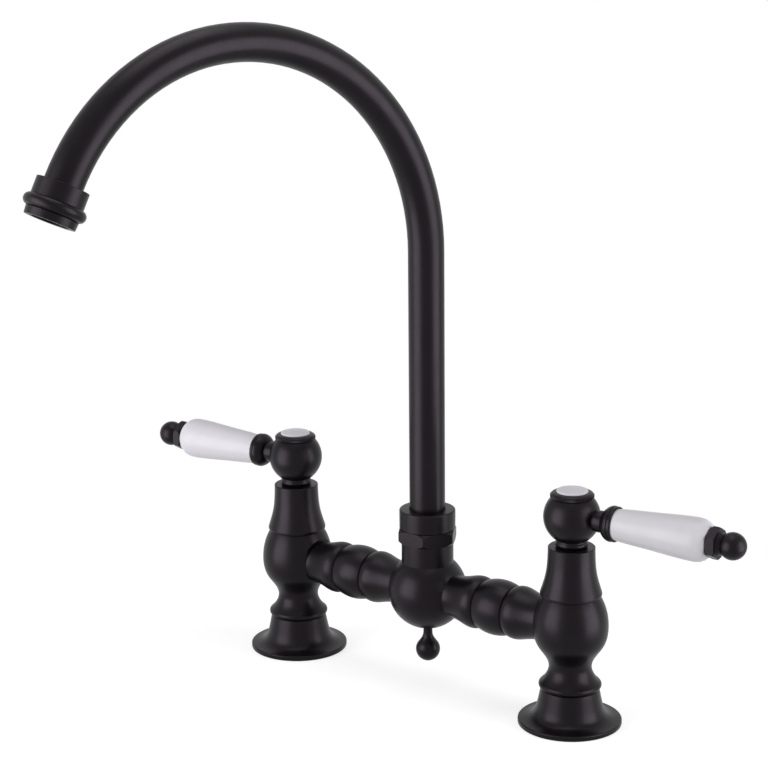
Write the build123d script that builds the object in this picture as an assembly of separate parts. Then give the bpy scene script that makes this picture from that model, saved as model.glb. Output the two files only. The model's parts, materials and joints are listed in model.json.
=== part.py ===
from build123d import *
import os
from math import cos, pi, radians, sin, sqrt, tan

# A bridge kitchen tap: two pillars on the deck, a level bridge of two turned arms
# with a ball between them, a swivelling gooseneck on the ball, and a lever with a
# white ceramic grip on each pillar. Millimetres and degrees. The origin is on the
# deck, midway between the pillars; X runs along the bridge, the user stands at -Y.

# ---- Driving dimensions ---------------------------------------------------------
# Whole tap
CENTRES = 180.0             # between the two inlet axes
BRIDGE_Z = 51.6             # bridge axis above the deck
FIT = 0.05                  # radial clearance of a running, screwed or pressed fit
GAP = 0.3                   # clearance between pieces that move past each other
SEAM = 0.1                  # gap between two pieces of one assembly
ROUND = 0.7                 # rounding of a turned outer edge
BREAK = 0.3                 # rounding of a small edge
PAST = 1.0                  # how far a cut runs past the solid that it cuts

# Base flange and its gasket
FLANGE_R = 26.25
FLANGE_RIM = 2.7            # thickness at the rim
FLANGE_H = 18.9             # deck to the foot of the pillar
FLANGE_NECK_R = 14.8
FLANGE_SWEEP = ((0.30, 0.035), (0.56, 0.115), (0.73, 0.26), (0.84, 0.48), (0.92, 0.73))
GASKET_R = 23.6
GASKET_WIDTH = 5.0
GASKET_DEPTH = 1.6

# Pillar body
SHANK_R = 12.6              # turned shank inside the flange
INLET_R = 9.3               # female 1/2 inch pipe thread, at its crests
INLET_DEPTH = 14.0
WATERWAY_R = 5.5
FOOT_BEAD_R = 15.85
FOOT_BEAD_H = 3.5
FOOT_BEAD_MIDDLE = 2.05     # widest part of the bead, above its foot
FOOT_TOP_R = 14.85          # where the bead ends and the neck begins
FOOT_TO_NECK = ((0.76, 0.50),)
NECK_R = 10.8
NECK_Z = 30.6
NECK_TO_BULB = ((0.18, 0.21), (0.77, 0.54))
BULB_R = 18.95
BULB_RISE = 0.7             # widest part of the bulb, above the bridge axis
BULB_TO_TOP = ((0.33, 0.58),)
BODY_TOP = 67.8             # seam between pillar and valve cover
BODY_TOP_R = 14.45
CAVITY_R = 9.5              # valve chamber
SEAT_Z = 44.0               # valve seat
VALVE_THREAD_R = 10.3
VALVE_THREAD_LEN = 6.6
COLLAR_R = 12.6             # threaded collar that carries the valve cover
COLLAR_BORE_R = 11.5
COLLAR_LEN = 4.4

# Valve cover
COVER_LIP_R = 15.5
COVER_LIP_H = 1.4
COVER_SWEEP = ((0.32, 0.16), (0.71, 0.39), (0.95, 0.72))
COVER_TOP_R = 11.8
COVER_TOP = 93.2
COVER_BORE_R = 10.0
COVER_ROOF = 3.6            # thickness of its top
COVER_TAPER_H = 2.0         # height of the cone between its thread and its bore

# Ceramic-disc valve
VALVE_R = 9.2
CHAMBER_R = 7.5             # inside the valve, round the discs
SEAL_H = 2.4
FIXED_DISC_H = 2.4
MOVING_DISC_H = 3.0
DISC_WEB_R = 2.2            # solid middle of each disc
DISC_RIM = 1.3              # solid edge outside the fixed disc's ports
DISC_ROOF = 0.6             # between the moving disc's ports and its slot
PORT_HALF_ANGLE = 32.0
DRIVE_R = 7.35              # spindle foot that turns the moving disc
DRIVE_H = 4.4
LUG_LEN = 12.0
LUG_WIDTH = 3.0
LUG_H = 1.2
WINDOW_WIDTH = 8.0
WINDOW_H = 6.0
HEX_ACROSS = 19.0           # spanner flats of the valve
HEX_H = 4.3
VALVE_SHOULDER_H = 1.0      # step from the valve's thread to its neck
VALVE_NECK_R = 6.4
SPINDLE_R = 4.0
SPINDLE_REACH = 9.4         # above the bottom of the handle
SPLINE_TEETH = 20
SPLINE_DEPTH = 0.35
SEAL_WIDTH = 2.0            # width of every O-ring groove
SPINDLE_GROOVE = 1.0        # depth of the grooves on the spindle
VALVE_GROOVE = 1.0          # depth of the groove on the valve
SPINDLE_SEAL_PITCH = 5.0    # chamber to first seal, and first seal to second
CLIP_R = 5.4
CLIP_H = 0.7
CLIP_GROOVE = 0.6
CLIP_MOUTH = 6.0

# Handle hub, cap ring and index button
HUB_R = 14.24
HUB_Z = 108.7               # centre of the ball, and the lever's axis
HUB_NECK_R = 8.2            # bead at the hub's foot
HUB_BEAD_OUT = 0.4
HUB_NECK_H = 2.7
HUB_GROOVE_R = 7.75
HUB_RECESS_R = 8.4
HUB_RECESS_Z = 4.4          # recess floor above the ball's centre
SOCKET_SPARE = 1.0          # splined socket above the end of the spindle
SCREW_R = 2.5
SCREW_HOLE_R = 2.7
SCREW_HEAD_R = 4.3
SCREW_HEAD_H = 2.7
SCREW_KEY_ACROSS = 4.0
SCREW_KEY_FLOOR = 1.0       # head left below the key socket
SCREW_THREAD = 9.0          # length engaged in the spindle
SCREW_SPARE = 2.0           # tapped hole beyond the screw
WEB_H = 3.2                 # hub web that the screw clamps
RING_R = 10.95
RING_SEAT_R = 10.0          # flat on the ball that the ring sits on
RING_H = 2.6
RING_SHOULDER = 1.1         # height of its rounded shoulder
RING_SWEEP = ((0.20, 0.50), (0.55, 0.85))
RING_KNURL_H = 1.3          # knurled band at the ring's foot
RING_KNURL_DEPTH = 0.3
RING_KNURL_TEETH = 60
BUTTON_R = 7.8
BUTTON_EDGE_H = 1.7
BUTTON_PROUD = 0.8          # button's edge above the top of the ring
BUTTON_DOME = 0.9
BUTTON_LEDGE = 0.7          # ledge that the button rests on
BUTTON_PLUG_CLEAR = 1.0     # plug above the floor of the hub's recess

# Lever
LEVER_REST = 4.3            # turn of both levers from the line of the bridge
ROD_R = 5.2
ROD_BELLY_R = 5.45          # rod halfway along
ROD_LEN = 4.85              # from the ball's flat to the crease at the cup
ROD_THREAD_R = 3.0
ROD_THREAD_LEN = 5.6
ROD_SPOT_R = 5.7            # flat on the ball round the rod
CUP_FOOT_R = 5.35
CUP_SWEEP = ((0.53, 0.27), (0.75, 0.47), (0.91, 0.67))
CUP_R = 9.0
CUP_BELL_LEN = 5.2          # from the crease to the groove behind the rim
CUP_GROOVE_DEPTH = 0.3
CUP_GROOVE_HALF = 0.25      # half width of that groove
CUP_RIM_R = 8.85
CUP_RIM_LEN = 2.0           # from the groove to the end of the cup
CUP_DEPTH = 1.5
CUP_ROUND = 0.5
STUD_R = 2.5
STUD_HOLE_Z = 2.5           # bottom of the neck's tapped hole, from the ball's flat
STUD_GRIP = 3.0             # stud engaged beyond the end piece's hexagon
WASHER_H = 0.7
WASHER_INSET = 0.5
GRIP_FOOT_R = 7.8
GRIP_MIDDLE_R = 9.35
GRIP_MIDDLE = 20.7          # from the grip's foot
GRIP_FULL_R = 10.75
GRIP_FULL = 42.3            # its fullest place, from the grip's foot
GRIP_TIP_R = 7.4
GRIP_LEN = 50.6
GRIP_BORE_R = 3.2
GRIP_TO_MIDDLE = ((0.42, 0.36),)
GRIP_TO_FULL = ((0.68, 0.57),)
GRIP_TO_TIP = ((0.22, 0.62), (0.76, 0.92))
END_HEX_ACROSS = 14.4
END_HEX_H = 4.2
END_CHAMFER = 0.8
END_FOOT_R = 6.0            # foot of the cone between hexagon and ball
END_NECK_R = 4.9
END_BALL_R = 6.75
END_BALL_STEP = 6.7         # from the hexagon to the ball's centre

# Bridge arms
ARM_END_R = 11.1
ARM_BARREL_R = 14.45
ARM_BARREL_HALF = 9.0       # half length of the middle bead
ARM_SEAM_R = 12.75
ARM_SEAM_DEPTH = 0.6
ARM_SEAM_HALF = 0.45        # half width of the groove on each side of the bead
ARM_BELL_R = 13.75
ARM_BELL = 4.3              # widest place of the bell, from the groove
ARM_SWEEP = ((0.43, 0.37), (0.89, 0.72))
ARM_BORE_R = 6.0
ARM_SPOT_R = 12.6           # flat that an arm seats on
ARM_SPIGOT_R = 8.0
ARM_SPIGOT_LEN = 4.6
ARM_GROOVE = 0.9

# Centre ball, column and drop finial
BALL_R = 20.65
COLUMN_R = 13.55
COLUMN_TOP = 78.3
MOUTH_R = 12.9              # threaded mouth inside the nut
MOUTH_LEN = 10.9
SPOUT_BORE_R = 11.2
SPOUT_BORE_DEPTH = 28.1
CHAMBER_MIX_R = 8.0
CHAMBER_FLOOR = 11.4        # below the bridge axis
FINIAL_SPOT_R = 2.8         # small flat under the ball
FINIAL_TOP_R = 2.6
FINIAL_NECK_R = 2.4
FINIAL_NECK_LEN = 2.6       # from the ball to the thinnest place
FINIAL_TO_NECK = ((0.90, 0.38),)
FINIAL_TO_DROP = ((0.06, 0.30), (0.22, 0.50), (0.50, 0.71))
FINIAL_DROP_R = 6.4
FINIAL_SHOULDER = 38.0      # where the drop's ball meets its neck, above its middle
FINIAL_LEN = 18.8           # ball to the tip of the drop
FINIAL_STUD_R = 2.0
FINIAL_STUD_LEN = 6.0

# Spout nut
NUT_R = 14.6
NUT_TOP = 95.9
NUT_ROUND = 0.9
NUT_HEX_H = 7.2
NUT_HEX_ACROSS = 28.4
NUT_CORNER_R = 16.2
NUT_CHAMFER = 1.5
NUT_GROOVE = 0.4            # step between hexagon and round collar
NUT_LIP = 2.2

# Gooseneck
SPOUT_AZIMUTH = 255.7       # a little left of straight ahead, as it stands in the view
TUBE_R = 9.25
TUBE_WALL = 1.2
ARC_Z = 231.2               # where the straight riser ends
ARC_R = 112.1               # first bend, from the riser to past the crown
ARC_SWEEP = 93.8
DROP_ARC_R = 102.7          # second bend, a little tighter, down to the outlet
DROP_ARC_SWEEP = 59.7
FOOT_FLANGE_R = 12.5
FOOT_FLANGE_H = 2.1
FOOT_STOP_H = 2.0
FOOT_SEALS = (7.0, 17.0)    # seal grooves above the foot's lower end
FOOT_GROOVE = 1.1

# Spout end, measured along the tip from the end of the arc
END_COLLAR_R = 12.45
END_COLLAR_LEN = 8.0
END_BEAD_R = 14.8
END_BEAD_LEN = 5.8
END_SOCKET_LEN = 6.0        # tube inside the collar
END_BORE_R = 11.35
SHELL_R = 12.45
SHELL_TIP_R = 12.15
SHELL_LEN = 3.8             # the visible lower ring
SHELL_WALL = 1.1
SHELL_LIP = 0.9
SHELL_LIP_H = 1.4
SHELL_GRIP = 5.3            # its threaded part, inside the collar
INSERT_WALL = 1.2
INSERT_FACE_H = 2.6
JET_R = 0.8
JET_PITCH = 2.6
JET_RINGS = 3
AERATOR_WASHER_H = 1.6

# ---- Places worked out from the sizes --------------------------------------------
PILLAR_X = CENTRES / 2
FOOT_Z = FLANGE_H + FIT
BALL_SEAT = sqrt(BALL_R**2 - ARM_END_R**2)
BULB_SEAT = sqrt(BULB_R**2 - ARM_END_R**2)
ARM_LEN = PILLAR_X - BALL_SEAT - BULB_SEAT
ROD_SEAT = sqrt(HUB_R**2 - ROD_R**2)
ROD_END = ROD_SEAT + ROD_LEN
CUP_GROOVE_X = ROD_END + CUP_BELL_LEN
CUP_END = CUP_GROOVE_X + CUP_RIM_LEN
RING_SEAT_Z = HUB_Z + sqrt(HUB_R**2 - RING_SEAT_R**2)
RING_Z = RING_SEAT_Z + FIT
RING_TOP = RING_Z + RING_H
BUTTON_SHELF = RING_TOP + BUTTON_PROUD - BUTTON_EDGE_H
RECESS_Z = HUB_Z + HUB_RECESS_Z
HUB_BASE = COVER_TOP + GAP
SPINDLE_TOP = HUB_BASE + SPINDLE_REACH
SOCKET_TOP = SPINDLE_TOP + SOCKET_SPARE
SCREW_SEAT = SOCKET_TOP + WEB_H
FIXED_DISC_Z = SEAT_Z + FIT + SEAL_H + FIT
MOVING_DISC_Z = FIXED_DISC_Z + FIXED_DISC_H + FIT
DRIVE_Z = MOVING_DISC_Z + MOVING_DISC_H + FIT
CHAMBER_TOP = DRIVE_Z + DRIVE_H + GAP
VALVE_TOP = COVER_TOP - CLIP_H - 3 * FIT
VALVE_HEX_Z = BODY_TOP + SEAM
VALVE_THREAD_Z = BODY_TOP - VALVE_THREAD_LEN
VALVE_SEAL_Z = (CHAMBER_TOP + VALVE_THREAD_Z) / 2
SPINDLE_SEALS = (CHAMBER_TOP + SPINDLE_SEAL_PITCH, CHAMBER_TOP + 2 * SPINDLE_SEAL_PITCH)
MOUTH_TOP = COLUMN_TOP + MOUTH_LEN
SPOUT_BORE_Z = MOUTH_TOP - SPOUT_BORE_DEPTH
FOOT_BOTTOM = SPOUT_BORE_Z + GAP
FOOT_SHOULDER = MOUTH_TOP + GAP
FOOT_TOP = FOOT_SHOULDER + FOOT_FLANGE_H
SLIP_RING_Z = FOOT_TOP + GAP
NUT_LIP_Z = NUT_TOP - NUT_LIP
NUT_BOTTOM = COLUMN_TOP + SEAM
NUT_HEX_TOP = NUT_BOTTOM + NUT_HEX_H
CUP_FLOOR = CUP_END - CUP_DEPTH
STUD_HOLE = ROD_SEAT + STUD_HOLE_Z
GRIP_START = CUP_FLOOR + FIT + WASHER_H + FIT
GRIP_END = GRIP_START + GRIP_LEN
END_START = GRIP_END + FIT + WASHER_H + FIT
END_HEX_TOP = END_START + END_HEX_H
END_BALL_X = END_HEX_TOP + END_BALL_STEP
BALL_BOTTOM = BRIDGE_Z - BALL_R
FINIAL_SEAT = BRIDGE_Z - sqrt(BALL_R**2 - FINIAL_SPOT_R**2)
END_LEN = END_COLLAR_LEN + END_BEAD_LEN
SHELL_TOP = END_LEN + SEAM
SHELL_END = SHELL_TOP + SHELL_LEN
INSERT_END = SHELL_END - SHELL_LIP_H - FIT
AERATOR_Z = END_SOCKET_LEN + GAP


# ---- Shared forms ------------------------------------------------------------------
def rounded(before, corner, after, radius):
    """Arc that rounds a corner between two straight lines: start, middle and end."""
    corner = Vector(*corner)
    back = (Vector(*before) - corner).normalized()
    ahead = (Vector(*after) - corner).normalized()
    half = radians(back.get_angle(ahead)) / 2
    inward = (back + ahead).normalized() * (radius / sin(half) - radius)
    reach = radius / tan(half)
    return [(point.X, point.Y) for point in
            (corner + back * reach, corner + inward, corner + ahead * reach)]


def turned(*steps):
    """Solid of revolution about Z. A step is the next corner (radius, height), a
    corner with its rounding (radius, height, rounding), or a list: two points make an
    arc, more make a smooth curve, from the corner before."""
    with BuildPart() as piece:
        with BuildSketch(Plane.XZ):
            with BuildLine():
                here = steps[0]
                for step, after in zip(steps[1:], steps[2:] + steps[:1]):
                    if isinstance(step, list) and len(step) == 2:
                        ThreePointArc(here, *step)
                        here = step[-1]
                    elif isinstance(step, list):
                        Spline(here, *step)
                        here = step[-1]
                    elif len(step) == 3:
                        target = after[0] if isinstance(after, list) else after[:2]
                        start, middle, end = rounded(here, step[:2], target, step[2])
                        Line(here, start)
                        ThreePointArc(start, middle, end)
                        here = end
                    else:
                        Line(here, step)
                        here = step
                Line(here, steps[0])
            make_face()
        revolve(axis=Axis.Z)
    return piece.part


def curve(start, shares, end):
    """Points of a curve from one corner to another: each share is how far it has come
    in radius and in height."""
    return [(start[0] + (end[0] - start[0]) * across, start[1] + (end[1] - start[1]) * up)
            for across, up in shares] + [end]


def ring(outer, inner, bottom, top):
    """Plain ring about Z."""
    return turned((inner, bottom), (outer, bottom), (outer, top), (inner, top))


def rod(radius, bottom, top):
    """Plain cylinder about Z."""
    return Pos(0, 0, (bottom + top) / 2) * Cylinder(radius, top - bottom)


def seal(groove_r, wall_r, height):
    """O-ring that fills a groove between two radii."""
    section = (wall_r - groove_r) / 2 - FIT
    return Pos(0, 0, height) * Torus((wall_r + groove_r) / 2, section)


def seal_groove(surface_r, depth, height):
    """What is cut from a shaft for an O-ring."""
    half = SEAL_WIDTH / 2
    return ring(surface_r + PAST, surface_r - depth, height - half, height + half)


def hexagon(across, bottom, top):
    """Hexagonal prism about Z with a corner on X, given across its flats."""
    face = Pos(0, 0, bottom) * RegularPolygon(across / 2, 6, major_radius=False)
    return extrude(face, amount=top - bottom)


def wedge(radius, azimuth, bottom, top):
    """Sector of a disc about Z, centred on an azimuth."""
    spread = radians(PORT_HALF_ANGLE)
    reach = 2 * radius
    corners = [(0, 0), (reach * cos(spread), reach * sin(spread)),
               (reach * cos(spread), -reach * sin(spread))]
    face = Pos(0, 0, bottom) * Rot(0, 0, azimuth) * make_face(Polyline(*corners, close=True))
    return extrude(face, amount=top - bottom) & rod(radius, bottom, top)


def toothed(tip_r, depth, teeth, bottom, top):
    """Shaft about Z with pointed teeth all round."""
    step = pi / teeth
    corners = []
    for index in range(2 * teeth):
        radius = tip_r - depth * (index % 2)
        corners.append((radius * cos(index * step), radius * sin(index * step)))
    face = Pos(0, 0, bottom) * make_face(Polyline(*corners, close=True))
    return extrude(face, amount=top - bottom)


# ---- Pillar pieces, built on the Z axis ----------------------------------------------
def base_flange():
    """Bell that covers the hole in the deck, with a groove below for its gasket."""
    bore = SHANK_R + FIT
    brow = (FLANGE_R - ROUND, FLANGE_RIM)
    neck = (FLANGE_NECK_R, FLANGE_H - BREAK)
    body = turned((bore, 0), (FLANGE_R, 0, ROUND), (FLANGE_R, FLANGE_RIM, ROUND),
                  curve(brow, FLANGE_SWEEP, neck), (FLANGE_NECK_R - BREAK, FLANGE_H),
                  (bore, FLANGE_H))
    return body - ring(GASKET_R + FIT, GASKET_R - GASKET_WIDTH - FIT, -PAST, GASKET_DEPTH)


def deck_gasket():
    """Flat rubber ring under the flange, flush with its rim."""
    return ring(GASKET_R, GASKET_R - GASKET_WIDTH, 0, GASKET_DEPTH - FIT)


def pillar_body():
    """Hollow casting: threaded inlet, waterway, valve chamber and side outlet."""
    bead_top = (FOOT_TOP_R, FOOT_Z + FOOT_BEAD_H)
    neck = (NECK_R, NECK_Z)
    bulb = (BULB_R, BRIDGE_Z + BULB_RISE)
    top = (BODY_TOP_R, BODY_TOP)
    body = turned((0, 0), (SHANK_R, 0), (SHANK_R, FOOT_Z), (FLANGE_NECK_R - BREAK, FOOT_Z),
                  [(FOOT_BEAD_R, FOOT_Z + FOOT_BEAD_MIDDLE), bead_top],
                  curve(bead_top, FOOT_TO_NECK, neck) + curve(neck, NECK_TO_BULB, bulb)
                  + curve(bulb, BULB_TO_TOP, top),
                  (COLLAR_R, BODY_TOP), (COLLAR_R, BODY_TOP + COLLAR_LEN),
                  (0, BODY_TOP + COLLAR_LEN))
    body -= rod(INLET_R, -PAST, INLET_DEPTH)
    body -= rod(WATERWAY_R, 0, SEAT_Z + PAST)
    body -= rod(CAVITY_R, SEAT_Z, VALVE_THREAD_Z + PAST)
    body -= rod(VALVE_THREAD_R, VALVE_THREAD_Z, BODY_TOP + PAST)
    return body - rod(COLLAR_BORE_R, BODY_TOP, BODY_TOP + COLLAR_LEN + PAST)


def side_outlet():
    """Flat and socket that a bridge arm screws into, cut from a pillar body on +X."""
    across = Pos(0, 0, BRIDGE_Z) * Rot(0, 90, 0)
    flat = across * rod(ARM_SPOT_R, BULB_SEAT, BULB_R + PAST)
    socket = across * rod(ARM_SPIGOT_R + FIT, 0, BULB_R)
    return flat + (socket - rod((WATERWAY_R + CAVITY_R) / 2, 0, BODY_TOP))


def valve_cover():
    """Tapered skirt screwed on the pillar's collar, round the top of the valve."""
    bottom = BODY_TOP + SEAM
    collar = COLLAR_R + FIT
    ceiling = BODY_TOP + COLLAR_LEN + GAP
    roof = COVER_TOP - COVER_ROOF
    hole = VALVE_NECK_R + FIT
    lip = (COVER_LIP_R, bottom + COVER_LIP_H)
    brow = (COVER_TOP_R, COVER_TOP - BREAK)
    return turned((collar, bottom), (COVER_LIP_R, bottom, ROUND), lip,
                  curve(lip, COVER_SWEEP, brow), (COVER_TOP_R - BREAK, COVER_TOP),
                  (hole, COVER_TOP), (hole, roof), (COVER_BORE_R, roof),
                  (COVER_BORE_R, ceiling + COVER_TAPER_H), (COLLAR_BORE_R, ceiling),
                  (collar, ceiling))


# ---- Valve pieces ------------------------------------------------------------------------
def valve_body():
    """Screwed-in housing of the ceramic discs, with a window on either side."""
    bore = SPINDLE_R + FIT
    thread = VALVE_THREAD_R - FIT
    shoulder = VALVE_HEX_Z + VALVE_SHOULDER_H
    body = turned((CHAMBER_R, FIXED_DISC_Z), (VALVE_R, FIXED_DISC_Z),
                  (VALVE_R, VALVE_THREAD_Z + FIT), (thread, VALVE_THREAD_Z + FIT),
                  (thread, shoulder), (VALVE_NECK_R, shoulder), (VALVE_NECK_R, VALVE_TOP),
                  (bore, VALVE_TOP), (bore, CHAMBER_TOP), (CHAMBER_R, CHAMBER_TOP))
    body -= seal_groove(VALVE_R, VALVE_GROOVE, VALVE_SEAL_Z)
    flats = hexagon(HEX_ACROSS, VALVE_HEX_Z, VALVE_HEX_Z + HEX_H)
    flats -= rod((VALVE_NECK_R + SPINDLE_R) / 2, 0, COVER_TOP)
    window = Box(3 * VALVE_R, WINDOW_WIDTH, WINDOW_H)
    return body + flats - Pos(0, 0, MOVING_DISC_Z + WINDOW_H / 2) * window


def valve_seal():
    """O-ring between the valve and its chamber."""
    return seal(VALVE_R - VALVE_GROOVE, CAVITY_R, VALVE_SEAL_Z)


def seat_seal():
    """Rubber seal between the valve seat and the fixed disc."""
    return ring(VALVE_R - 2 * FIT, WATERWAY_R + FIT, SEAT_Z + FIT, SEAT_Z + FIT + SEAL_H)


def fixed_disc():
    """Lower ceramic disc, with two ports that face the windows."""
    bottom = FIXED_DISC_Z + FIT
    top = FIXED_DISC_Z + FIXED_DISC_H
    disc = rod(CHAMBER_R - FIT, bottom, top)
    for azimuth in (0, 180):
        port = wedge(CHAMBER_R - DISC_RIM, azimuth, bottom - PAST, top + PAST)
        disc -= port - rod(DISC_WEB_R, bottom - 2 * PAST, top + 2 * PAST)
    return disc


def moving_disc():
    """Upper ceramic disc: two wings that cover the ports, and a slot for the drive lug."""
    top = MOVING_DISC_Z + MOVING_DISC_H
    slot_h = LUG_H + FIT
    disc = rod(CHAMBER_R - FIT, MOVING_DISC_Z, top)
    for azimuth in (90, 270):
        port = wedge(CHAMBER_R + PAST, azimuth, MOVING_DISC_Z - PAST, top - slot_h - DISC_ROOF)
        disc -= port - rod(DISC_WEB_R, MOVING_DISC_Z - 2 * PAST, top)
    return disc - Pos(0, 0, top) * Box(2 * CHAMBER_R, LUG_WIDTH + 2 * FIT, 2 * slot_h)


def valve_spindle():
    """Spindle: drive foot with a lug, two seal grooves, and a splined, tapped top."""
    foot = rod(DRIVE_R, DRIVE_Z, DRIVE_Z + DRIVE_H)
    lug = Pos(0, 0, DRIVE_Z - LUG_H / 2) * Box(LUG_LEN, LUG_WIDTH, LUG_H)
    shaft = rod(SPINDLE_R, DRIVE_Z + DRIVE_H, HUB_BASE)
    for height in SPINDLE_SEALS:
        shaft -= seal_groove(SPINDLE_R, SPINDLE_GROOVE, height)
    shaft -= ring(SPINDLE_R + PAST, SPINDLE_R - CLIP_GROOVE, VALVE_TOP + FIT,
                  VALVE_TOP + CLIP_H + 2 * FIT)
    splines = toothed(SPINDLE_R, SPLINE_DEPTH, SPLINE_TEETH, HUB_BASE, SPINDLE_TOP)
    tapped = rod(SCREW_R, SPINDLE_TOP - SCREW_THREAD - SCREW_SPARE, SPINDLE_TOP + PAST)
    return foot + lug + shaft + splines - tapped


def spindle_seals():
    """The two O-rings on the spindle."""
    low, high = (seal(SPINDLE_R - SPINDLE_GROOVE, SPINDLE_R + FIT, height)
                 for height in SPINDLE_SEALS)
    return low + high


def spindle_clip():
    """Open ring in the spindle's groove that keeps it in the valve."""
    bottom = VALVE_TOP + 1.5 * FIT
    washer = ring(CLIP_R, SPINDLE_R - CLIP_GROOVE + FIT, bottom, bottom + CLIP_H)
    return washer - Pos(0, CLIP_R, bottom) * Box(CLIP_MOUTH, 2 * CLIP_R, 4 * CLIP_H)


# ---- Handle pieces: the hub on the Z axis, the lever along X --------------------------------
def handle_hub():
    """Ball with a beaded neck, a splined socket, a screw recess and the lever's socket."""
    neck_top = HUB_Z - sqrt(HUB_R**2 - HUB_GROOVE_R**2)
    bead_r = HUB_NECK_R - HUB_BEAD_OUT
    hub = turned((0, HUB_BASE), (bead_r, HUB_BASE),
                 [(HUB_NECK_R, HUB_BASE + HUB_NECK_H / 2), (bead_r, HUB_BASE + HUB_NECK_H)],
                 (HUB_GROOVE_R, neck_top), [(HUB_R, HUB_Z), (RING_SEAT_R, RING_SEAT_Z)],
                 (0, RING_SEAT_Z))
    hub -= toothed(SPINDLE_R + FIT, SPLINE_DEPTH, SPLINE_TEETH, HUB_BASE - PAST, SOCKET_TOP)
    hub -= rod(SCREW_HOLE_R, HUB_BASE, RECESS_Z)
    hub -= rod(SCREW_HEAD_R + GAP, SCREW_SEAT, RECESS_Z + PAST)
    hub -= rod(HUB_RECESS_R, RECESS_Z, RING_SEAT_Z + PAST)
    hub -= on_lever(rod(ROD_SPOT_R, ROD_SEAT, HUB_R + PAST))
    return hub - on_lever(rod(ROD_THREAD_R + FIT, ROD_SEAT - ROD_THREAD_LEN - GAP, HUB_R))


def handle_screw():
    """Socket-head screw that clamps the hub on the spindle."""
    seat = SCREW_SEAT + FIT
    head = rod(SCREW_HEAD_R, seat, seat + SCREW_HEAD_H)
    shank = rod(SCREW_R - FIT, SPINDLE_TOP - SCREW_THREAD, seat)
    key = hexagon(SCREW_KEY_ACROSS, seat + SCREW_KEY_FLOOR, seat + SCREW_HEAD_H + PAST)
    return head + shank - key


def index_ring():
    """Cap ring on top of the hub, knurled at its foot, with a skirt in the recess."""
    skirt = HUB_RECESS_R - FIT
    skirt_z = RECESS_Z + GAP
    side = RING_R - RING_KNURL_DEPTH
    seat = BUTTON_R + FIT
    bore = BUTTON_R - BUTTON_LEDGE
    brow = (side, RING_TOP - RING_SHOULDER)
    shell = turned((bore, skirt_z), (skirt, skirt_z), (skirt, RING_Z), (side, RING_Z), brow,
                   curve(brow, RING_SWEEP, (seat, RING_TOP)), (seat, BUTTON_SHELF),
                   (bore, BUTTON_SHELF))
    knurl = toothed(RING_R, RING_KNURL_DEPTH, RING_KNURL_TEETH, RING_Z, RING_Z + RING_KNURL_H)
    return shell + (knurl - rod(skirt, RING_Z - PAST, RING_TOP))


def index_button():
    """Glazed domed disc with a plug, pressed in the cap ring."""
    shelf = BUTTON_SHELF + FIT
    edge = shelf + BUTTON_EDGE_H
    floor = RECESS_Z + BUTTON_PLUG_CLEAR
    plug = BUTTON_R - BUTTON_LEDGE - FIT
    rim = BUTTON_R - BREAK
    crown = (rim**2 + BUTTON_DOME**2) / (2 * BUTTON_DOME)
    halfway = edge + BUTTON_DOME - crown + sqrt(crown**2 - rim**2 / 4)
    return turned((0, floor), (plug, floor), (plug, shelf), (BUTTON_R, shelf),
                  (BUTTON_R, edge - BREAK), (rim, edge),
                  [(rim / 2, halfway), (0, edge + BUTTON_DOME)])


def on_lever(piece):
    """Turns a piece made about Z to lie along +X at the lever's height."""
    return Pos(0, 0, HUB_Z) * Rot(0, 90, 0) * piece


def lever_neck():
    """Screwed rod with a bell-shaped cup for the grip, tapped for the long stud."""
    bore = GRIP_FOOT_R + GAP
    tapped = STUD_R + FIT
    crease = (CUP_FOOT_R, ROD_END)
    brim = (CUP_R, CUP_GROOVE_X - CUP_GROOVE_HALF)
    return turned((0, ROD_SEAT - ROD_THREAD_LEN), (ROD_THREAD_R, ROD_SEAT - ROD_THREAD_LEN),
                  (ROD_THREAD_R, ROD_SEAT + FIT), (ROD_R, ROD_SEAT + FIT),
                  [(ROD_BELLY_R, (ROD_SEAT + ROD_END) / 2), crease],
                  curve(crease, CUP_SWEEP, brim), (CUP_RIM_R - CUP_GROOVE_DEPTH, CUP_GROOVE_X),
                  (CUP_RIM_R, CUP_GROOVE_X + CUP_GROOVE_HALF), (CUP_RIM_R, CUP_END, CUP_ROUND),
                  (bore, CUP_END), (bore, CUP_FLOOR), (tapped, CUP_FLOOR), (tapped, STUD_HOLE),
                  (0, STUD_HOLE))


def lever_stud():
    """Long threaded stud through the grip, from the neck to the end piece."""
    return rod(STUD_R, STUD_HOLE + GAP, END_HEX_TOP + STUD_GRIP)


def lever_washers():
    """Rubber washer at either end of the grip."""
    foot = CUP_FLOOR + FIT
    tip = GRIP_END + FIT
    return (ring(GRIP_FOOT_R - WASHER_INSET, GRIP_BORE_R, foot, foot + WASHER_H)
            + ring(GRIP_TIP_R - WASHER_INSET, GRIP_BORE_R, tip, tip + WASHER_H))


def lever_grip():
    """Glazed ceramic sleeve, fuller towards its outer end."""
    foot = (GRIP_FOOT_R, GRIP_START + BREAK)
    middle = (GRIP_MIDDLE_R, GRIP_START + GRIP_MIDDLE)
    full = (GRIP_FULL_R, GRIP_START + GRIP_FULL)
    tip = (GRIP_TIP_R, GRIP_END)
    return turned((GRIP_BORE_R, GRIP_START), (GRIP_FOOT_R - BREAK, GRIP_START), foot,
                  curve(foot, GRIP_TO_MIDDLE, middle) + curve(middle, GRIP_TO_FULL, full)
                  + curve(full, GRIP_TO_TIP, tip), (GRIP_BORE_R, GRIP_END))


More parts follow.
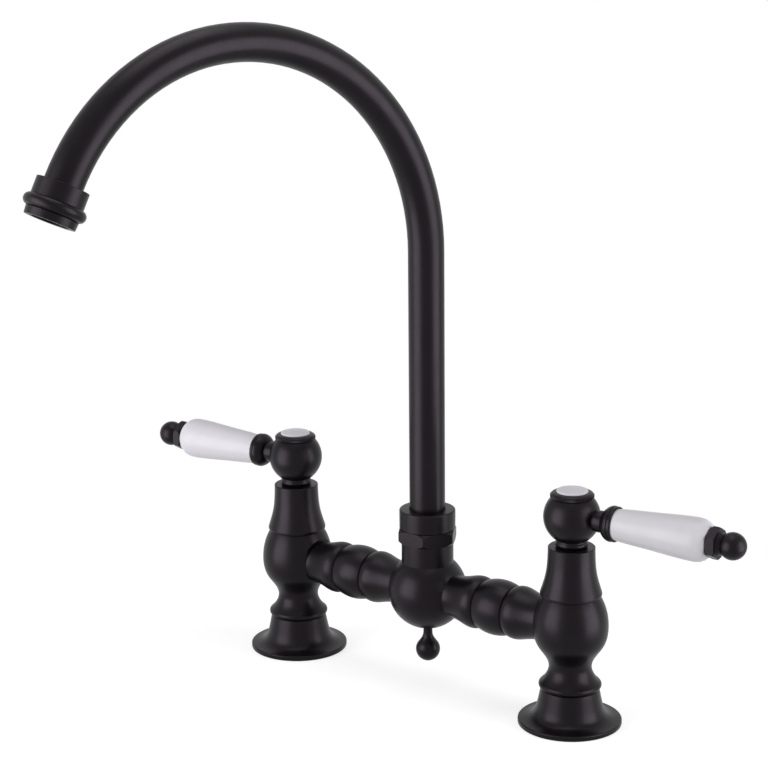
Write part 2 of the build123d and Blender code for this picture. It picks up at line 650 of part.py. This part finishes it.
def lever_end():
    """Hexagon with a ball finial, tapped for the stud."""
    corner = END_HEX_ACROSS / sqrt(3)
    neck = (END_NECK_R, END_BALL_X - sqrt(END_BALL_R**2 - END_NECK_R**2))
    chamfered = turned((0, END_START), (corner - END_CHAMFER, END_START),
                       (corner, END_START + END_CHAMFER), (corner, END_HEX_TOP - END_CHAMFER),
                       (corner - END_CHAMFER, END_HEX_TOP), (0, END_HEX_TOP))
    nut = hexagon(END_HEX_ACROSS, END_START, END_HEX_TOP) & chamfered
    ball = turned((0, END_HEX_TOP - PAST), (END_FOOT_R, END_HEX_TOP - PAST),
                  (END_FOOT_R, END_HEX_TOP), neck,
                  [(END_BALL_R, END_BALL_X), (0, END_BALL_X + END_BALL_R)])
    return nut + ball - rod(STUD_R + FIT, END_START - PAST, END_HEX_TOP + STUD_GRIP + GAP)


# ---- Bridge pieces -----------------------------------------------------------------------------
def bridge_arm():
    """Hollow turned arm along Z from the ball's flat, with a spigot at each end."""
    middle = ARM_LEN / 2
    seam = ARM_BARREL_HALF
    bell = (ARM_BELL_R, seam + ARM_BELL)
    outward = [bell] + curve(bell, ARM_SWEEP, (ARM_END_R, middle))
    upper = [(radius, middle + along) for radius, along in outward]
    lower = [(radius, middle - along) for radius, along in reversed(outward[:-1])]
    arm = turned((ARM_BORE_R, -ARM_SPIGOT_LEN), (ARM_SPIGOT_R, -ARM_SPIGOT_LEN),
                 (ARM_SPIGOT_R, 0), (ARM_END_R, 0),
                 lower + [(ARM_SEAM_R, middle - seam - ARM_SEAM_HALF)],
                 (ARM_SEAM_R - ARM_SEAM_DEPTH, middle - seam),
                 (ARM_SEAM_R, middle - seam + ARM_SEAM_HALF),
                 [(ARM_BARREL_R, middle), (ARM_SEAM_R, middle + seam - ARM_SEAM_HALF)],
                 (ARM_SEAM_R - ARM_SEAM_DEPTH, middle + seam),
                 (ARM_SEAM_R, middle + seam + ARM_SEAM_HALF), upper,
                 (ARM_SPIGOT_R, ARM_LEN), (ARM_SPIGOT_R, ARM_LEN + ARM_SPIGOT_LEN),
                 (ARM_BORE_R, ARM_LEN + ARM_SPIGOT_LEN))
    for height in (-ARM_SPIGOT_LEN / 2, ARM_LEN + ARM_SPIGOT_LEN / 2):
        arm -= seal_groove(ARM_SPIGOT_R, ARM_GROOVE, height)
    return arm


def arm_seals():
    """O-ring on each spigot of an arm."""
    groove = ARM_SPIGOT_R - ARM_GROOVE
    return (seal(groove, ARM_SPIGOT_R + FIT, -ARM_SPIGOT_LEN / 2)
            + seal(groove, ARM_SPIGOT_R + FIT, ARM_LEN + ARM_SPIGOT_LEN / 2))


def centre_body():
    """Hollow ball with two side sockets and the column that the spout turns in."""
    column = BRIDGE_Z + sqrt(BALL_R**2 - COLUMN_R**2)
    floor = BRIDGE_Z - CHAMBER_FLOOR
    body = turned((0, BALL_BOTTOM), [(BALL_R, BRIDGE_Z), (COLUMN_R, column)],
                  (COLUMN_R, COLUMN_TOP), (MOUTH_R, COLUMN_TOP), (MOUTH_R, MOUTH_TOP),
                  (SPOUT_BORE_R, MOUTH_TOP), (SPOUT_BORE_R, SPOUT_BORE_Z),
                  (CHAMBER_MIX_R, SPOUT_BORE_Z), (CHAMBER_MIX_R, floor), (0, floor))
    for turn in (90, -90):
        across = Pos(0, 0, BRIDGE_Z) * Rot(0, turn, 0)
        body -= across * rod(ARM_SPOT_R, BALL_SEAT, BALL_R + PAST)
        body -= across * rod(ARM_SPIGOT_R + FIT, BALL_SEAT - ARM_SPIGOT_LEN - GAP, BALL_R)
        body -= across * rod(ARM_BORE_R, 0, BALL_R)
    body -= rod(FINIAL_SPOT_R, BALL_BOTTOM - PAST, FINIAL_SEAT)
    return body - rod(FINIAL_STUD_R + FIT, BALL_BOTTOM, FINIAL_SEAT + FINIAL_STUD_LEN + GAP)


def drop_finial():
    """Drop-shaped ornament screwed in under the ball."""
    top = FINIAL_SEAT - FIT
    tip = BALL_BOTTOM - FINIAL_LEN
    drop = tip + FINIAL_DROP_R
    shoulder = radians(FINIAL_SHOULDER)
    root = (FINIAL_TOP_R, top)
    neck = (FINIAL_NECK_R, top - FINIAL_NECK_LEN)
    side = (FINIAL_DROP_R * cos(shoulder), drop + FINIAL_DROP_R * sin(shoulder))
    return turned((0, top + FINIAL_STUD_LEN), (FINIAL_STUD_R, top + FINIAL_STUD_LEN),
                  (FINIAL_STUD_R, top), root,
                  curve(root, FINIAL_TO_NECK, neck) + curve(neck, FINIAL_TO_DROP, side),
                  [(FINIAL_DROP_R, drop), (0, tip)])


def spout_nut():
    """Round collar with a hexagon below, screwed on the column's mouth."""
    waist = NUT_R - NUT_GROOVE
    hex_part = hexagon(NUT_HEX_ACROSS, NUT_BOTTOM, NUT_HEX_TOP)
    hex_part &= turned((0, NUT_BOTTOM), (NUT_CORNER_R - NUT_CHAMFER, NUT_BOTTOM),
                       (NUT_CORNER_R, NUT_BOTTOM + NUT_CHAMFER),
                       (NUT_CORNER_R, NUT_HEX_TOP - NUT_CHAMFER),
                       (NUT_CORNER_R - NUT_CHAMFER, NUT_HEX_TOP), (0, NUT_HEX_TOP))
    collar = turned((0, NUT_HEX_TOP - PAST), (waist, NUT_HEX_TOP - PAST), (waist, NUT_HEX_TOP),
                    (NUT_R, NUT_HEX_TOP + NUT_GROOVE), (NUT_R, NUT_TOP, NUT_ROUND), (0, NUT_TOP))
    nut = hex_part + collar - rod(MOUTH_R + FIT, NUT_BOTTOM - PAST, NUT_LIP_Z)
    return nut - rod(TUBE_R + GAP, NUT_LIP_Z - PAST, NUT_TOP + PAST)


def slip_ring():
    """Plastic ring between the nut's lip and the foot of the spout."""
    return ring(MOUTH_R - FIT, TUBE_R + GAP, SLIP_RING_Z, NUT_LIP_Z - FIT)


# ---- Spout pieces: built towards +X, then turned to the spout's azimuth ------------------------
def on_gooseneck(turn):
    """Point on the tube's middle line where it has bent over by this many degrees."""
    change = radians(ARC_SWEEP)
    first = radians(min(turn, ARC_SWEEP))
    second = radians(max(turn, ARC_SWEEP))
    across = ARC_R * (1 - cos(first)) + DROP_ARC_R * (cos(change) - cos(second))
    up = ARC_R * sin(first) + DROP_ARC_R * (sin(second) - sin(change))
    return (across, 0, ARC_Z + up)


def tip_plane():
    """Plane at the end of the gooseneck whose normal runs out along the tip."""
    over = radians(ARC_SWEEP + DROP_ARC_SWEEP)
    return Plane(origin=on_gooseneck(ARC_SWEEP + DROP_ARC_SWEEP), x_dir=(0, 1, 0),
                 z_dir=(sin(over), 0, cos(over)))


def spout_tube():
    """Riser, the gooseneck's two bends and the short straight tip of one tube."""
    start = FOOT_BOTTOM + FOOT_STOP_H + FIT
    change = on_gooseneck(ARC_SWEEP)
    tip = tip_plane()
    end = tip.origin + tip.z_dir * (END_SOCKET_LEN - FIT)
    riser = Line((0, 0, start), (0, 0, ARC_Z))
    bend = ThreePointArc((0, 0, ARC_Z), on_gooseneck(ARC_SWEEP / 2), change)
    drop = ThreePointArc(change, on_gooseneck(ARC_SWEEP + DROP_ARC_SWEEP / 2), tip.origin)
    route = Wire([riser, bend, drop, Line(tip.origin, end)])
    section = Pos(0, 0, start) * (Circle(TUBE_R) - Circle(TUBE_R - TUBE_WALL))
    return sweep(section, path=route)


def spout_foot():
    """Bush brazed on the tube: turns in the column, held down by its flange."""
    run = SPOUT_BORE_R - FIT
    bore = TUBE_R + FIT
    inner = TUBE_R - TUBE_WALL
    stop = FOOT_BOTTOM + FOOT_STOP_H
    foot = turned((inner, FOOT_BOTTOM), (run, FOOT_BOTTOM), (run, FOOT_SHOULDER),
                  (FOOT_FLANGE_R, FOOT_SHOULDER), (FOOT_FLANGE_R, FOOT_TOP), (bore, FOOT_TOP),
                  (bore, stop), (inner, stop))
    for height in FOOT_SEALS:
        foot -= seal_groove(run, FOOT_GROOVE, FOOT_BOTTOM + height)
    return foot


def spout_seals():
    """The two O-rings on the foot of the spout."""
    groove = SPOUT_BORE_R - FIT - FOOT_GROOVE
    low, high = (seal(groove, SPOUT_BORE_R, FOOT_BOTTOM + height) for height in FOOT_SEALS)
    return low + high


def spout_collar():
    """Beaded end piece of the spout, threaded inside for the aerator."""
    bore = TUBE_R + FIT
    bead = END_COLLAR_LEN + END_BEAD_LEN / 2
    return turned((bore, 0), (END_COLLAR_R, 0, BREAK), (END_COLLAR_R, END_COLLAR_LEN),
                  [(END_BEAD_R, bead), (END_COLLAR_R, END_LEN)],
                  (END_BORE_R, END_LEN), (END_BORE_R, AERATOR_Z), (bore, AERATOR_Z))


def aerator_shell():
    """Visible lower ring, screwed in the collar and lipped to hold the insert."""
    thread = END_BORE_R - FIT
    start = END_LEN - SHELL_GRIP
    bore = thread - SHELL_WALL
    lip = bore - SHELL_LIP
    return turned((bore, start), (thread, start), (thread, SHELL_TOP),
                  (SHELL_R, SHELL_TOP, BREAK), (SHELL_TIP_R, SHELL_END, BREAK),
                  (lip, SHELL_END, BREAK), (lip, SHELL_END - SHELL_LIP_H),
                  (bore, SHELL_END - SHELL_LIP_H))


def aerator_insert():
    """Plastic cup with a grid of jets in its lower face."""
    radius = END_BORE_R - SHELL_WALL - 2 * FIT
    bottom = AERATOR_Z + AERATOR_WASHER_H + 2 * FIT
    face = INSERT_END - INSERT_FACE_H
    cup = rod(radius, bottom, INSERT_END) - rod(radius - INSERT_WALL, bottom - PAST, face)
    jets = [Pos(0, 0, 0)]
    for circle in range(1, JET_RINGS + 1):
        for index in range(6 * circle):
            turn = radians(60.0 * index / circle)
            reach = circle * JET_PITCH
            jets.append(Pos(reach * cos(turn), reach * sin(turn), 0))
    return cup - [jet * rod(JET_R, face - PAST, INSERT_END + PAST) for jet in jets]


def aerator_washer():
    """Rubber washer between the end of the tube and the insert."""
    bottom = AERATOR_Z + FIT
    return ring(END_BORE_R - SHELL_WALL, TUBE_R - TUBE_WALL + GAP, bottom,
                bottom + AERATOR_WASHER_H)


# ---- Assembly ------------------------------------------------------------------------------------
os.makedirs("parts", exist_ok=True)


def save(node, piece):
    """Writes one sub-part."""
    export_step(piece, os.path.join("parts", node + ".step"))


outlet = side_outlet()
for side, sign, facing in (("left", -1, 180), ("right", 1, 0)):
    pillar = Pos(sign * PILLAR_X, 0, 0)
    inward = Rot(0, 0, 180 - facing)
    handle = pillar * Rot(0, 0, facing + LEVER_REST)
    arm = Pos(sign * BALL_SEAT, 0, BRIDGE_Z) * Rot(0, sign * 90, 0)

    save(f"{side}_base_flange", pillar * base_flange())
    save(f"{side}_deck_gasket", pillar * deck_gasket())
    save(f"{side}_pillar_body", pillar * (pillar_body() - inward * outlet))
    save(f"{side}_valve_cover", pillar * valve_cover())

    save(f"{side}_valve_body", pillar * valve_body())
    save(f"{side}_valve_seal", pillar * valve_seal())
    save(f"{side}_seat_seal", pillar * seat_seal())
    save(f"{side}_fixed_disc", pillar * fixed_disc())
    save(f"{side}_moving_disc", handle * moving_disc())
    save(f"{side}_valve_spindle", handle * valve_spindle())
    save(f"{side}_spindle_seals", pillar * spindle_seals())
    save(f"{side}_spindle_clip", pillar * spindle_clip())

    save(f"{side}_handle_hub", handle * handle_hub())
    save(f"{side}_handle_screw", pillar * handle_screw())
    save(f"{side}_index_ring", pillar * index_ring())
    save(f"{side}_index_button", pillar * index_button())
    save(f"{side}_lever_neck", handle * on_lever(lever_neck()))
    save(f"{side}_lever_stud", handle * on_lever(lever_stud()))
    save(f"{side}_lever_washers", handle * on_lever(lever_washers()))
    save(f"{side}_lever_grip", handle * on_lever(lever_grip()))
    save(f"{side}_lever_end", handle * on_lever(lever_end()))

    save(f"{side}_bridge_arm", arm * bridge_arm())
    save(f"{side}_arm_seals", arm * arm_seals())

save("centre_body", centre_body())
save("drop_finial", drop_finial())
save("spout_nut", spout_nut())
save("slip_ring", slip_ring())

spout = Rot(0, 0, SPOUT_AZIMUTH)
spout_end = spout * tip_plane().location
save("spout_tube", spout * spout_tube())
save("spout_foot", spout_foot())
save("spout_seals", spout_seals())
save("spout_collar", spout_end * spout_collar())
save("aerator_shell", spout_end * aerator_shell())
save("aerator_insert", spout_end * aerator_insert())
save("aerator_washer", spout_end * aerator_washer())
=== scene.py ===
import json
import math

import bpy
from mathutils import Matrix, Vector

# Looks of a bridge kitchen tap: satin black coating, white glazed grips and buttons, bare
# brass and rubber where the coating ends, on a pale round table in soft studio light.
# Metres and degrees, in the frame's own axes: Z up, the user stands at -Y.

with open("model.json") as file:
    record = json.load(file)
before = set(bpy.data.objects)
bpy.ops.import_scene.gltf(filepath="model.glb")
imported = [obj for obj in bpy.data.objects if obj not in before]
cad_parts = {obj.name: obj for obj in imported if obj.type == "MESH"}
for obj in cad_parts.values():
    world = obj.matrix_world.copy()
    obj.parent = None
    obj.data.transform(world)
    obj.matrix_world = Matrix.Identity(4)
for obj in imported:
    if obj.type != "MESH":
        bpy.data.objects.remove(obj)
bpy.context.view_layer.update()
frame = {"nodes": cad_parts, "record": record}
nodes = frame["nodes"]

# ---- Sizes and places --------------------------------------------------------------
MM = 0.001
UP = Vector((0.0, 0.0, 1.0))

# Camera, as it was worked out from the photograph
CAMERA_PLACE = Vector((0.66647, -0.86626, 0.43808))
CAMERA_AZIMUTH = 38.721
CAMERA_PITCH = 14.066
CAMERA_ROLL = -0.5505
CAMERA_LENS = 103.125
SENSOR_WIDTH = 36.0

# Stage
TABLE_RADIUS = 0.28
TABLE_DROP = 0.1 * MM       # keeps it clear of the flanges' undersides
TABLE_SIDES = 128
TABLE_COLOUR = (0.45, 0.45, 0.455)
TABLE_ROUGHNESS = 0.7
TABLE_GLOW = 0.72           # lifts the table to white where it is seen or mirrored
BACKGROUND = 1.0            # white
FILL = 0.16                 # what the surroundings shine on the tap

# Softboxes: azimuth from the camera, place of the panel's middle, its width and height
LEFT_BOX = {"azimuth": -63, "place_z": 0.20, "distance": 1.25, "width": 1.00, "height": 1.30}
RIGHT_BOX = {"azimuth": 64, "place_z": 0.20, "distance": 1.25, "width": 0.92, "height": 1.30}
BOX_RADIANCE = 5.4
TOP_BOX_Z = 1.30
TOP_BOX_SIZE = 0.80
TOP_BOX_RADIANCE = 2.7

# Satin black powder coating
COATING = (0.0012, 0.0009, 0.0013)
COATING_DUST = (0.0022, 0.0018, 0.0024)
COATING_ROUGHNESS = (0.33, 0.39)
COATING_GLOSS = 0.155       # specular level, well under a glossy paint's 0.5
COATING_TINT = (1.0, 0.86, 1.0)
COATING_CLOUD = 14 * MM
COATING_PEEL = 2.2 * MM
COATING_PEEL_DEPTH = 0.010 * MM
COATING_GRAIN = 0.45 * MM
COATING_GRAIN_DEPTH = 0.006 * MM

# White glazed ceramic
CERAMIC = (0.56, 0.54, 0.58)
CERAMIC_DEEP = (0.52, 0.50, 0.54)
CERAMIC_ROUGHNESS = (0.28, 0.34)
CERAMIC_GLOSS = 0.2
CERAMIC_CLOUD = 9 * MM
CERAMIC_WAVE = 6 * MM
CERAMIC_WAVE_DEPTH = 0.012 * MM

# Turned bare metal
BRASS = (0.62, 0.44, 0.19)
BRASS_DARK = (0.40, 0.27, 0.11)
BRASS_ROUGHNESS = (0.24, 0.36)
STEEL = (0.50, 0.50, 0.51)
STEEL_DARK = (0.40, 0.40, 0.41)
STEEL_ROUGHNESS = (0.28, 0.40)
TOOL_RING = 0.25 * MM
TOOL_RING_STRETCH = (30.0, 30.0, 1.0)
TOOL_RING_DEPTH = 0.010 * MM

# Ground ceramic, rubber and moulded plastic
DISC_CERAMIC = (0.80, 0.78, 0.73)
DISC_ROUGHNESS = (0.30, 0.42)
DISC_GRAIN = 0.2 * MM
RUBBER = (0.018, 0.018, 0.019)
RUBBER_LIGHT = (0.027, 0.027, 0.029)
RUBBER_ROUGHNESS = (0.62, 0.72)
RUBBER_GRAIN = 0.3 * MM
PLASTIC = (0.11, 0.11, 0.12)
PLASTIC_LIGHT = (0.165, 0.165, 0.18)
PLASTIC_ROUGHNESS = (0.45, 0.55)
PLASTIC_GRAIN = 0.4 * MM
MOULDED_DEPTH = 0.015 * MM

# Noise textures
NOISE_RANGE = (0.3, 0.7)    # where most of their values lie
SMOOTH = 1.0                # detail of a soft wave
MIXED = 2.0                 # detail of clouds and rings
ROUGH = 3.0                 # detail of a fine grain

# Shares of a material's second colour, at most
ALL_OVER = 1.0
CERAMIC_DEEP_SHARE = 0.5
DISC_DEEP_SHARE = 0.4
MOULDED_LIGHT_SHARE = 0.6

WHITE = (1.0, 1.0, 1.0, 1.0)


# ---- Nodes of materials ------------------------------------------------------------
def material(name):
    """New material with a Principled shader; returns it, its tree and the shader."""
    made = bpy.data.materials.new(name)
    made.use_nodes = True
    tree = made.node_tree
    return made, tree, tree.nodes["Principled BSDF"]


def feed(tree, socket, value):
    """Links an output to a socket, or sets the socket to a plain value."""
    if isinstance(value, bpy.types.NodeSocket):
        tree.links.new(value, socket)
    else:
        socket.default_value = value


def node(tree, kind, **inputs):
    """Adds a node, and sets or links its inputs by name."""
    made = tree.nodes.new(kind)
    for key, value in inputs.items():
        feed(tree, made.inputs[key.replace("_", " ")], value)
    return made


def maths(tree, operation, first, second):
    """Maths node on two numbers or sockets; returns its output."""
    made = tree.nodes.new("ShaderNodeMath")
    made.operation = operation
    for socket, value in zip(made.inputs, (first, second)):
        feed(tree, socket, value)
    return made.outputs[0]


def noise(tree, size, detail, stretch=(1.0, 1.0, 1.0)):
    """Noise whose grains are about `size` metres across, longer along a stretched axis."""
    place = tree.nodes.new("ShaderNodeTexCoord")
    scaled = node(tree, "ShaderNodeMapping", Vector=place.outputs["Object"])
    scaled.inputs["Scale"].default_value = tuple(1.0 / (size * part) for part in stretch)
    return node(tree, "ShaderNodeTexNoise", Vector=scaled.outputs["Vector"], Scale=1.0,
                Detail=detail).outputs["Fac"]


def spread(tree, value, low, high):
    """Maps a noise value to the range from low to high."""
    least, most = NOISE_RANGE
    return node(tree, "ShaderNodeMapRange", Value=value, From_Min=least, From_Max=most,
                To_Min=low, To_Max=high).outputs["Result"]


def blend(tree, share, first, second):
    """Mix of two colours."""
    mix = tree.nodes.new("ShaderNodeMix")
    mix.data_type = "RGBA"
    tree.links.new(share, mix.inputs["Factor"])
    mix.inputs["A"].default_value = (*first, 1.0)
    mix.inputs["B"].default_value = (*second, 1.0)
    return mix.outputs["Result"]


def bump(tree, height, depth, below=None):
    """Bump of a given depth in metres, on top of another bump."""
    made = node(tree, "ShaderNodeBump", Height=height, Distance=depth, Strength=1.0)
    if below is not None:
        tree.links.new(below, made.inputs["Normal"])
    return made.outputs["Normal"]


# ---- Materials ------------------------------------------------------------------------
def black_coating():
    """Satin black powder coating: fine grain, slight unevenness, faint dust."""
    made, tree, shader = material("black_coating")
    cloud = noise(tree, COATING_CLOUD, MIXED)
    colour = blend(tree, spread(tree, cloud, 0.0, ALL_OVER), COATING, COATING_DUST)
    tree.links.new(colour, shader.inputs["Base Color"])
    tree.links.new(spread(tree, cloud, *COATING_ROUGHNESS), shader.inputs["Roughness"])
    peel = bump(tree, noise(tree, COATING_PEEL, SMOOTH), COATING_PEEL_DEPTH)
    grain = bump(tree, noise(tree, COATING_GRAIN, ROUGH), COATING_GRAIN_DEPTH, below=peel)
    tree.links.new(grain, shader.inputs["Normal"])
    shader.inputs["Specular IOR Level"].default_value = COATING_GLOSS
    shader.inputs["Specular Tint"].default_value = (*COATING_TINT, 1.0)
    return made


def glazed_ceramic():
    """White glaze over a slightly uneven body."""
    made, tree, shader = material("glazed_ceramic")
    cloud = noise(tree, CERAMIC_CLOUD, MIXED)
    colour = blend(tree, spread(tree, cloud, 0.0, CERAMIC_DEEP_SHARE), CERAMIC, CERAMIC_DEEP)
    tree.links.new(colour, shader.inputs["Base Color"])
    tree.links.new(spread(tree, cloud, *CERAMIC_ROUGHNESS), shader.inputs["Roughness"])
    wave = bump(tree, noise(tree, CERAMIC_WAVE, SMOOTH), CERAMIC_WAVE_DEPTH)
    tree.links.new(wave, shader.inputs["Normal"])
    shader.inputs["Specular IOR Level"].default_value = CERAMIC_GLOSS
    return made


def machined(name, light, dark, roughness):
    """Turned bare metal, with fine rings left by the tool."""
    made, tree, shader = material(name)
    rings = noise(tree, TOOL_RING, MIXED, stretch=TOOL_RING_STRETCH)
    colour = blend(tree, spread(tree, rings, 0.0, ALL_OVER), light, dark)
    tree.links.new(colour, shader.inputs["Base Color"])
    shader.inputs["Metallic"].default_value = 1.0
    tree.links.new(spread(tree, rings, *roughness), shader.inputs["Roughness"])
    tree.links.new(bump(tree, rings, TOOL_RING_DEPTH), shader.inputs["Normal"])
    return made


def ground_ceramic():
    """Ground face of a valve disc."""
    made, tree, shader = material("ground_ceramic")
    grain = noise(tree, DISC_GRAIN, ROUGH)
    colour = blend(tree, spread(tree, grain, 0.0, DISC_DEEP_SHARE), DISC_CERAMIC, CERAMIC_DEEP)
    tree.links.new(colour, shader.inputs["Base Color"])
    tree.links.new(spread(tree, grain, *DISC_ROUGHNESS), shader.inputs["Roughness"])
    return made


def moulded(name, colour, light, grain_size, roughness):
    """Rubber or matte plastic with a fine moulded grain."""
    made, tree, shader = material(name)
    grain = noise(tree, grain_size, MIXED)
    mottled = blend(tree, spread(tree, grain, 0.0, MOULDED_LIGHT_SHARE), colour, light)
    tree.links.new(mottled, shader.inputs["Base Color"])
    tree.links.new(spread(tree, grain, *roughness), shader.inputs["Roughness"])
    tree.links.new(bump(tree, grain, MOULDED_DEPTH), shader.inputs["Normal"])
    return made


FINISHES = {
    "black_coating": black_coating(),
    "glazed_ceramic": glazed_ceramic(),
    "brass": machined("machined_brass", BRASS, BRASS_DARK, BRASS_ROUGHNESS),
    "steel": machined("machined_steel", STEEL, STEEL_DARK, STEEL_ROUGHNESS),
    "ceramic_disc": ground_ceramic(),
    "rubber": moulded("rubber", RUBBER, RUBBER_LIGHT, RUBBER_GRAIN, RUBBER_ROUGHNESS),
    "plastic": moulded("moulded_plastic", PLASTIC, PLASTIC_LIGHT, PLASTIC_GRAIN,
                       PLASTIC_ROUGHNESS),
}


def finish_nodes():
    """Gives every CAD node the finish of its material slot."""
    for subpart in frame["record"]["subparts"]:
        piece = nodes[subpart["node"]]
        piece.data.materials.clear()
        piece.data.materials.append(FINISHES[subpart["material_slot"]])


# ---- Stage ----------------------------------------------------------------------------
def shown_ray(tree):
    """1 for the rays that show the background: camera, glossy and transmission rays."""
    rays = tree.nodes.new("ShaderNodeLightPath")
    mirrored = maths(tree, "MAXIMUM", rays.outputs["Is Glossy Ray"],
                     rays.outputs["Is Transmission Ray"])
    return maths(tree, "MAXIMUM", rays.outputs["Is Camera Ray"], mirrored)


def white_surroundings():
    """World: white where it is seen or mirrored, and a soft fill elsewhere."""
    world = bpy.data.worlds.new("surroundings")
    bpy.context.scene.world = world
    world.use_nodes = True
    tree = world.node_tree
    back = tree.nodes["Background"]
    back.inputs["Color"].default_value = WHITE
    level = node(tree, "ShaderNodeMapRange", Value=shown_ray(tree), To_Min=FILL,
                 To_Max=BACKGROUND)
    tree.links.new(level.outputs["Result"], back.inputs["Strength"])


def table_top():
    """Pale round table under the tap: keeps its shadow, and ends in the background."""
    mesh = bpy.data.meshes.new("table_top")
    turns = [2 * math.pi * side / TABLE_SIDES for side in range(TABLE_SIDES)]
    rim = [(TABLE_RADIUS * math.cos(turn), TABLE_RADIUS * math.sin(turn), 0.0)
           for turn in turns]
    mesh.from_pydata(rim, [], [tuple(range(TABLE_SIDES))])
    top = bpy.data.objects.new("table_top", mesh)
    top.location.z = -TABLE_DROP
    bpy.context.scene.collection.objects.link(top)
    made, tree, shader = material("table_top")
    shader.inputs["Base Color"].default_value = (*TABLE_COLOUR, 1.0)
    shader.inputs["Roughness"].default_value = TABLE_ROUGHNESS
    shader.inputs["Specular IOR Level"].default_value = 0.0
    shader.inputs["Emission Color"].default_value = WHITE
    lift = maths(tree, "MULTIPLY", shown_ray(tree), TABLE_GLOW)
    tree.links.new(lift, shader.inputs["Emission Strength"])
    mesh.materials.append(made)


def panel(name, place, outward, width, height, radiance):
    """Soft rectangular light with its back to the outward direction."""
    light = bpy.data.lights.new(name, "AREA")
    light.shape = "RECTANGLE"
    light.size = width
    light.size_y = height
    light.energy = radiance * math.pi * width * height
    lamp = bpy.data.objects.new(name, light)
    lamp.location = place
    lamp.rotation_euler = outward.to_track_quat("Z", "Y").to_euler()
    lamp.visible_camera = False
    bpy.context.scene.collection.objects.link(lamp)


def softbox(name, azimuth, place_z, distance, width, height):
    """Upright panel that faces the tap, at an azimuth counted from the camera."""
    turn = math.radians(CAMERA_AZIMUTH + azimuth)
    outward = Vector((math.sin(turn), -math.cos(turn), 0.0))
    place = outward * distance + UP * place_z
    panel(name, place, outward, width, height, BOX_RADIANCE)


def camera():
    """Camera at the photograph's viewpoint."""
    azimuth, pitch, roll = (math.radians(angle) for angle in
                            (CAMERA_AZIMUTH, CAMERA_PITCH, CAMERA_ROLL))
    ahead = Vector((-math.sin(azimuth) * math.cos(pitch), math.cos(azimuth) * math.cos(pitch),
                    -math.sin(pitch)))
    level = Vector((math.cos(azimuth), math.sin(azimuth), 0.0))
    upright = level.cross(ahead)
    right = math.cos(roll) * level + math.sin(roll) * upright
    up = -math.sin(roll) * level + math.cos(roll) * upright
    data = bpy.data.cameras.new("camera")
    data.lens = CAMERA_LENS
    data.sensor_width = SENSOR_WIDTH
    eye = bpy.data.objects.new("camera", data)
    turned = Matrix((right, up, -ahead)).transposed().to_4x4()
    eye.matrix_world = Matrix.Translation(CAMERA_PLACE) @ turned
    bpy.context.scene.collection.objects.link(eye)
    bpy.context.scene.camera = eye


finish_nodes()
white_surroundings()
table_top()
softbox("left_softbox", **LEFT_BOX)
softbox("right_softbox", **RIGHT_BOX)
panel("top_softbox", UP * TOP_BOX_Z, UP, TOP_BOX_SIZE, TOP_BOX_SIZE, TOP_BOX_RADIANCE)
camera()
bpy.context.scene.view_settings.view_transform = "Standard"
